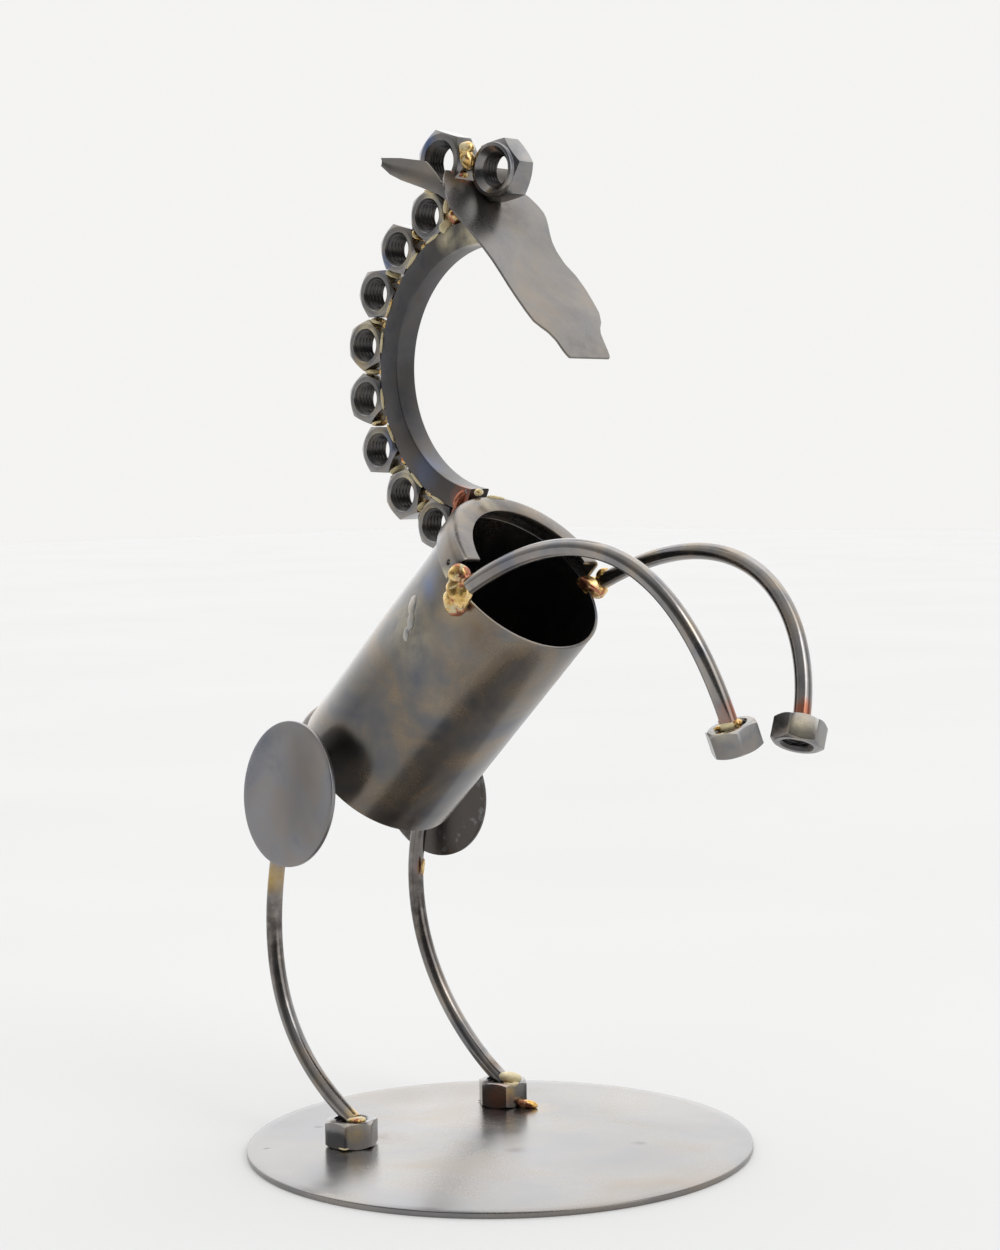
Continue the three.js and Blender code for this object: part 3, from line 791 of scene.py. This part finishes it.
def face_sheet():
    rows, columns = 70, 41
    up_edge, right_edge, left_edge = np.array(FACE_EDGES).T
    wing, middle = FACE_TOP["wing"], FACE_TOP["middle"]
    ups = np.linspace(0, wing, rows)
    right = np.interp(ups, np.append(up_edge, wing), np.append(right_edge, FACE_TOP["wing_width"]))
    left = np.interp(np.minimum(ups, middle), up_edge, left_edge)
    left[ups > middle] = -FACE_TOP["wing_inner"]
    front, back = [], []
    for up, to_right, to_left in zip(ups, right, left):
        for y in np.linspace(-to_right, to_left, columns):
            centre = FACE_NOSE + FACE_UP * up + ACROSS * y
            front.append(centre + FACE_OUT * FACE_THICKNESS)
            back.append(centre)
    faces = sheet_faces(rows, columns)
    piece("face_look", np.array(front + back), faces, sheet_steel, "face_plate", 40)


def ear_point(side, t, v, back):
    """A point of one ear: t along it from the face, v up across it, back from 0 outside to 1 inside."""
    table = np.array(EAR["stations"], float)
    at = np.linspace(0, 1, len(table))
    x, low, high = (np.interp(t, at, table[:, c]) for c in range(3))
    bow = EAR["bow"] * 4 * v * (1 - v) * min(1, (high - low) / 12)
    y = EAR["spread"] - bow - back * FACE_THICKNESS
    return vec(x, FACE_NOSE[1] + SIDES[side] * y, low + (high - low) * v)


def ear_start(side, v):
    """Where along the ear its metal starts: behind the face sheet and past the slit beside it."""
    slit_z, slit_x = zip(*EAR["slit"])
    furthest = 0.4
    for t in np.linspace(0, furthest, 200):
        point = ear_point(side, t, v, 0)
        free = (point - FACE_NOSE) @ FACE_OUT <= FACE_THICKNESS / 2
        if free and point[0] <= np.interp(point[2], slit_z, slit_x, left=99, right=99):
            return t
    return furthest


def ear(side):
    rows, columns = 40, 33
    starts = [ear_start(side, v) for v in np.linspace(0, 1, columns)]
    sheets = [[ear_point(side, starts[j] + (1 - starts[j]) * i / (rows - 1), j / (columns - 1), back)
               for i in range(rows) for j in range(columns)] for back in (0, 1)]
    verts = np.array(sheets[0] + sheets[1])
    piece(f"ear_{side}", verts, sheet_faces(rows, columns), sheet_steel, None, 40)


# ---------------------------------------------------------------- braze metal and flux
# Each joint's lumps: centre, half extents across, up and toward the viewer, metal, and tilt in degrees.
BRAZES = {
    "front_right": [
        ((27, -49.4, 289.4), (5.6, 6.4, 4.2), braze, 8),
        ((26.4, -50, 282.4), (6, 7.6, 5.2), braze, 8),
        ((24.8, -50.6, 278.4), (5.6, 6.2, 4.6), braze_pale, 20),
        ((30.6, -50, 282), (4.2, 7.4, 4.8), braze, -14),
        ((24.4, -48.6, 274), (4.6, 3.6, 3.2), braze_red, 15),
        ((27, -49.4, 276.6), (3.4, 5.4, 3.6), braze, 4),
    ],
    "front_left": [
        ((25.6, 46, 280.6), (8.2, 5.2, 5.4), braze, -28),
        ((31, 47.6, 287.5), (4, 2.6, 3.2), braze_pale, 35),
        ((21, 46.2, 283.5), (3.5, 2.8, 4), braze_red, 0),
    ],
    "neck_foot": [
        ((-14.6, -6.6, 326.5), (2.6, 5.6, 2.2), braze_red, -38),
        ((-17.6, -7.6, 319.6), (1.8, 4.8, 2), braze_red, -20),
        ((-3.2, -5.4, 329), (2.6, 1.9, 1.8), braze_pale, 0),
        ((6.6, -3.5, 326.4), (5, 1.1, 1.6), flux, -8),
        ((-11, -5.6, 329.4), (1.4, 1.8, 1.4), nut_steel, 0),
    ],
    "head": [
        ((-32.6, -7.4, 478.6), (3.4, 1.3, 1.6), flux, -20),
        ((-18.6, -9.4, 476.6), (2, 2.6, 1.6), braze_pale, -20),
        ((-21.8, -6.4, 471.5), (1.6, 4.6, 2), flux, -12),
        ((-17.2, -4, 466.2), (4.4, 4.6, 4.5), braze, 30),
        ((-12.2, -12.5, 469.5), (0.9, 6.8, 0.9), braze_red, 32),
        ((-23.5, -5.5, 461.2), (4, 3, 2), flux, 40),
        ((-8.6, -5, 498.4), (4, 3.6, 3.2), braze_pale, 20),
        ((-8.8, -4.4, 493), (3.8, 5, 4.2), braze, 10),
        ((-13.4, -5.5, 486.4), (4.8, 1.7, 2.2), braze_red, -8),
        ((-9.6, -4.8, 485.2), (2, 1.6, 1.8), braze_pale, 0),
        ((18.2, -1.2, 483.9), (0.9, 1.3, 0.8), nut_steel, 10),
    ],
    "hind_right": [
        ((-43.5, -57.5, 17.0), (5, 1.7, 3.4), braze_pale, 0),
        ((-41.4, -59.4, 17.4), (2.6, 1.3, 2), braze, 0),
        ((-49, -60, 4.2), (5.5, 1.2, 10.2), flux, 0),
    ],
    "hind_left": [
        ((-44.6, 53.5, 18.4), (6, 3.2, 5), flux, -8),
        ((-42.2, 51, 15.6), (5, 1.6, 4), braze_pale, 0),
        ((-34.5, 55.5, 5.4), (6, 2.2, 2.4), braze, -12),
        ((-60.6, 52, 3.6), (5.2, 0.8, 2), flux, -4),
    ],
    "hoof_right": [
        ((174.5, -29, 225.6), (6.4, 2.1, 3.2), braze_pale, 12),
        ((170.6, -27.5, 227.4), (2.6, 2.2, 2.6), braze, 0),
        ((177.2, -26.6, 226.8), (3, 1.9, 3), braze, 20),
    ],
    "hoof_left": [((175.2, 21, 223.6), (4.6, 1.8, 3.6), braze_red, -10)],
    "thigh_left": [((-103.6, 48.6, 125.5), (1.0, 5.2, 2.2), braze, -6)],
}
# The solder run's drops down the near side of the tube: centre and half extents.
DRIP = [
    ((-13.9, -41.7, 274.5), (3.6, 5, 0.8)),
    ((-13.4, -43.3, 267.3), (3, 5.4, 0.8)),
    ((-16.5, -43.9, 260.3), (2.2, 4, 0.7)),
]
LUMPINESS = 0.12
MELT_GRAIN = 0.35
SOFTENING, SOFTENING_ROUNDS = 0.8, 24


def lump_mesh(centre, size, axes=VIEW_AXES, tilt=0.0, seed=0.0):
    """A lump of metal with half extents along three axes, tilted in the plane of the first two."""
    rows, columns = 22, 32
    c, s = math.cos(rad(tilt)), math.sin(rad(tilt))
    wide, tall, deep = axes
    wide, tall = wide * c + tall * s, tall * c - wide * s
    verts = []
    for i in range(rows + 1):
        polar = math.pi * i / rows
        for j in range(columns):
            turn = 2 * math.pi * j / columns
            u = vec(math.sin(polar) * math.cos(turn), math.cos(polar), math.sin(polar) * math.sin(turn))
            coarse, fine = noise.noise(Vector(u * 1.3 + seed)), noise.noise(Vector(u * 3.1 - seed))
            swell = coarse * LUMPINESS * 1.6 + fine * LUMPINESS * 0.5
            p = u * np.asarray(size, float) * (1 + swell)
            verts.append(np.asarray(centre, float) + wide * p[0] + tall * p[1] + deep * p[2])
    return verts, grid_faces(rows + 1, columns, True)


def fused(name, lumps, material):
    """Melts overlapping lumps into one smooth piece of metal."""
    verts, faces = [], []
    for lump_verts, lump_faces in lumps:
        faces += [tuple(len(verts) + i for i in f) for f in lump_faces]
        verts += lump_verts
    obj = piece(name, verts, faces, material, sharp=180)
    melt = obj.modifiers.new("melt", "REMESH")
    melt.mode = "VOXEL"
    melt.voxel_size = MELT_GRAIN * MM
    melt.use_smooth_shade = True
    soften = obj.modifiers.new("soften", "SMOOTH")
    soften.factor = SOFTENING
    soften.iterations = SOFTENING_ROUNDS
    bake(obj, 180)


def blob(name, centre, size, material, axes, seed):
    verts, faces = lump_mesh(centre, size, axes, seed=seed)
    piece(name, verts, faces, material, sharp=180)


def brazes():
    """The lumps of each joint, those of one metal fused into one piece."""
    for joint, lumps in BRAZES.items():
        for material in {lump[2].name: lump[2] for lump in lumps}.values():
            made = [lump_mesh(centre, size, tilt=tilt, seed=i * 1.7 + len(joint))
                    for i, (centre, size, finish, tilt) in enumerate(lumps) if finish == material]
            fused(f"{joint}_{material.name}", made, material)


def drip():
    """A run of solder down the near side of the tube."""
    lumps = []
    for i, (point, size) in enumerate(DRIP):
        point = vec(*point)
        normal = point - TUBE_FOOT
        normal = unit(normal - TUBE_AXIS * (normal @ TUBE_AXIS))
        up = unit(VIEW_AXES[1] - normal * normal[2])
        lumps.append(lump_mesh(point, size, (np.cross(up, normal), up, normal), seed=i * 2.9))
    fused("solder_run", lumps, bead)


def round_neck(angle):
    """Directions at an angle round the neck: along the bar, out from it, and across."""
    return vec(-math.sin(angle), 0, math.cos(angle)), vec(math.cos(angle), 0, math.sin(angle)), ACROSS


def mane_brazes():
    """Fillets in the notches between the mane nuts, on the bar, and beads where two nuts touch."""
    apothem = MANE_NUT["flats"] / 2
    for i, (a, b) in enumerate(zip(MANE_ANGLES, MANE_ANGLES[1:]), 1):
        axes = round_neck(rad((a + b) / 2))
        out = axes[1]
        web = NECK_CENTRE + out * (NECK_OUTER + 1.2)
        blob(f"braze_mane_{i}_web", web, (3.6, 2.8, 5.4), braze, axes, i * 2.3)
        bead_at = NECK_CENTRE + out * (NECK_OUTER + apothem - 2.4) - ACROSS * 2.5
        finish = braze_pale if i % 2 else flux
        blob(f"braze_mane_{i}_bead", bead_at, (1.5, 3.4, 4.7), finish, axes, i * 3.1)
    for i, angle in enumerate(MANE_ANGLES, 1):
        axes = round_neck(rad(angle))
        along, out, _ = axes
        at = NECK_CENTRE + out * (NECK_OUTER + 0.1) + along * (2.5 if i % 2 else -3) - ACROSS * 6.2
        finish = flux if i % 3 else braze_pale
        blob(f"braze_mane_{i}_edge", at, (5.4, 0.9, 0.9), finish, axes, i * 1.3)


# ---------------------------------------------------------------- stage, light and camera
# Lengths in metres from here on.
BACKDROP = (0.905, 0.90, 0.885)
FLOOR_GLOW = 0.25
FLOOR_HALF = 9.0
WINDOW_TURN = 52.0
CAMERA = {
    "distance": 1.291, "height": 0.34416, "azimuth": 44.61, "pan": -0.16, "pitch": 3.6, "roll": -0.81,
    "lens": 74.89, "sensor": 36.0,
}


def stage():
    """A pale plain floor that glows a little, so that it meets the backdrop in tone."""
    mesh = bpy.data.meshes.new("floor")
    half = FLOOR_HALF
    corners = [(-half, -half, 0), (half, -half, 0), (half, half, 0), (-half, half, 0)]
    mesh.from_pydata(corners, [], [(0, 1, 2, 3)])
    floor = bpy.data.objects.new("floor", mesh)
    bpy.context.scene.collection.objects.link(floor)
    n = Nodes("floor_white")
    n.put((*BACKDROP, 1), n.shader.inputs["Emission Color"])
    n.put(FLOOR_GLOW, n.shader.inputs["Emission Strength"])
    tone = n.ramp(n.noise(2.0, 2, 0.5), [(0.3, 0.49), (0.7, 0.51)])
    mesh.materials.append(n.end(tone, 0.0, 0.9))


def area_light(name, position, target, energy, size):
    data = bpy.data.lights.new(name, "AREA")
    data.energy = energy
    data.shape = "RECTANGLE"
    data.size, data.size_y = size
    obj = bpy.data.objects.new(name, data)
    obj.location = position
    obj.rotation_euler = (Vector(target) - Vector(position)).to_track_quat("-Z", "Y").to_euler()
    bpy.context.scene.collection.objects.link(obj)


def lighting():
    """White backdrop, a studio that darkens toward the viewer, and a tall window at the viewer's right."""
    world = bpy.data.worlds.new("studio")
    bpy.context.scene.world = world
    world.use_nodes = True
    tree = world.node_tree
    tree.nodes.clear()

    def node(kind, **settings):
        made = tree.nodes.new(kind)
        for key, value in settings.items():
            setattr(made, key, value)
        return made

    def toward(direction, flat=False):
        """How far a ray points in a direction, or its level part does if flat."""
        at = node("ShaderNodeTexCoord").outputs["Generated"]
        if flat:
            flatten = node("ShaderNodeVectorMath", operation="MULTIPLY")
            tree.links.new(at, flatten.inputs[0])
            flatten.inputs[1].default_value = (1, 1, 0)
            level = node("ShaderNodeVectorMath", operation="NORMALIZE")
            tree.links.new(flatten.outputs[0], level.inputs[0])
            at = level.outputs[0]
        dot = node("ShaderNodeVectorMath", operation="DOT_PRODUCT")
        tree.links.new(at, dot.inputs[0])
        dot.inputs[1].default_value = tuple(unit(direction))
        return dot.outputs["Value"]

    def ramp(source, low, high, stops):
        """Grey levels at places between low and high."""
        scaled = node("ShaderNodeMapRange")
        tree.links.new(source, scaled.inputs["Value"])
        scaled.inputs["From Min"].default_value, scaled.inputs["From Max"].default_value = low, high
        band = node("ShaderNodeValToRGB")
        tree.links.new(scaled.outputs["Result"], band.inputs["Fac"])
        while len(band.color_ramp.elements) < len(stops):
            band.color_ramp.elements.new(0.5)
        for element, (position, level) in zip(band.color_ramp.elements, stops):
            element.position = position
            element.color = (level, level, level, 1)
        return band.outputs["Color"]

    def add(a, b):
        total = node("ShaderNodeMix", data_type="RGBA", blend_type="ADD")
        total.inputs["Factor"].default_value = 1.0
        tree.links.new(a, total.inputs["A"])
        tree.links.new(b, total.inputs["B"])
        return total.outputs["Result"]

    viewer = (math.sin(rad(VIEW)), -math.cos(rad(VIEW)), 0)
    window = VIEW + WINDOW_TURN
    to_window = (math.sin(rad(window)), -math.cos(rad(window)), 0)
    walls = [(0.0, 1.7), (0.22, 1.25), (0.45, 0.62), (0.68, 0.27), (1.0, 0.07)]
    room = ramp(toward(viewer, True), -1, 1, walls)
    pane = ramp(toward(to_window, True), 0.90, 0.985, [(0.0, 0.0), (1.0, 1.5)])
    ceiling = ramp(toward((0, 0, 1)), 0.45, 0.9, [(0.0, 0.0), (1.0, 0.6)])
    studio = node("ShaderNodeBackground")
    tree.links.new(add(add(room, pane), ceiling), studio.inputs["Color"])
    backdrop = node("ShaderNodeBackground")
    backdrop.inputs["Color"].default_value = (*BACKDROP, 1)
    mix = node("ShaderNodeMixShader")
    tree.links.new(node("ShaderNodeLightPath").outputs["Is Camera Ray"], mix.inputs["Fac"])
    tree.links.new(studio.outputs[0], mix.inputs[1])
    tree.links.new(backdrop.outputs[0], mix.inputs[2])
    tree.links.new(mix.outputs[0], node("ShaderNodeOutputWorld").inputs["Surface"])
    area_light("key", (1.1, -0.1, 1.2), (0, 0, 0.25), 2.0, (0.5, 0.5))
    bpy.context.scene.view_settings.view_transform = "Standard"


def camera():
    c = CAMERA
    azimuth, turn = rad(c["azimuth"]), rad(c["azimuth"] + c["pan"])
    level, down = math.cos(rad(c["pitch"])), math.sin(rad(c["pitch"]))
    forward = vec(-math.sin(turn) * level, math.cos(turn) * level, -down)
    right = vec(math.cos(turn), math.sin(turn), 0)
    up = np.cross(right, forward)
    cos_roll, sin_roll = math.cos(rad(c["roll"])), math.sin(rad(c["roll"]))
    right, up = right * cos_roll + up * sin_roll, up * cos_roll - right * sin_roll
    data = bpy.data.cameras.new("camera")
    data.lens = c["lens"]
    data.sensor_width = c["sensor"]
    data.clip_end = 50
    obj = bpy.data.objects.new("camera", data)
    matrix = Matrix.Identity(4)
    for column, axis in enumerate((right, up, -forward)):
        for row in range(3):
            matrix[row][column] = axis[row]
    distance = c["distance"]
    matrix.translation = (distance * math.sin(azimuth), -distance * math.cos(azimuth), c["height"])
    obj.matrix_world = matrix
    bpy.context.scene.collection.objects.link(obj)
    bpy.context.scene.camera = obj


base_plate()
body_tube()
collar()
neck_bar()
mane()
hooves()
eyes()
legs()
discs()
face_sheet()
for name in SIDES:
    ear(name)
brazes()
drip()
mane_brazes()
stage()
lighting()
camera()

bpy.context.view_layer.update()
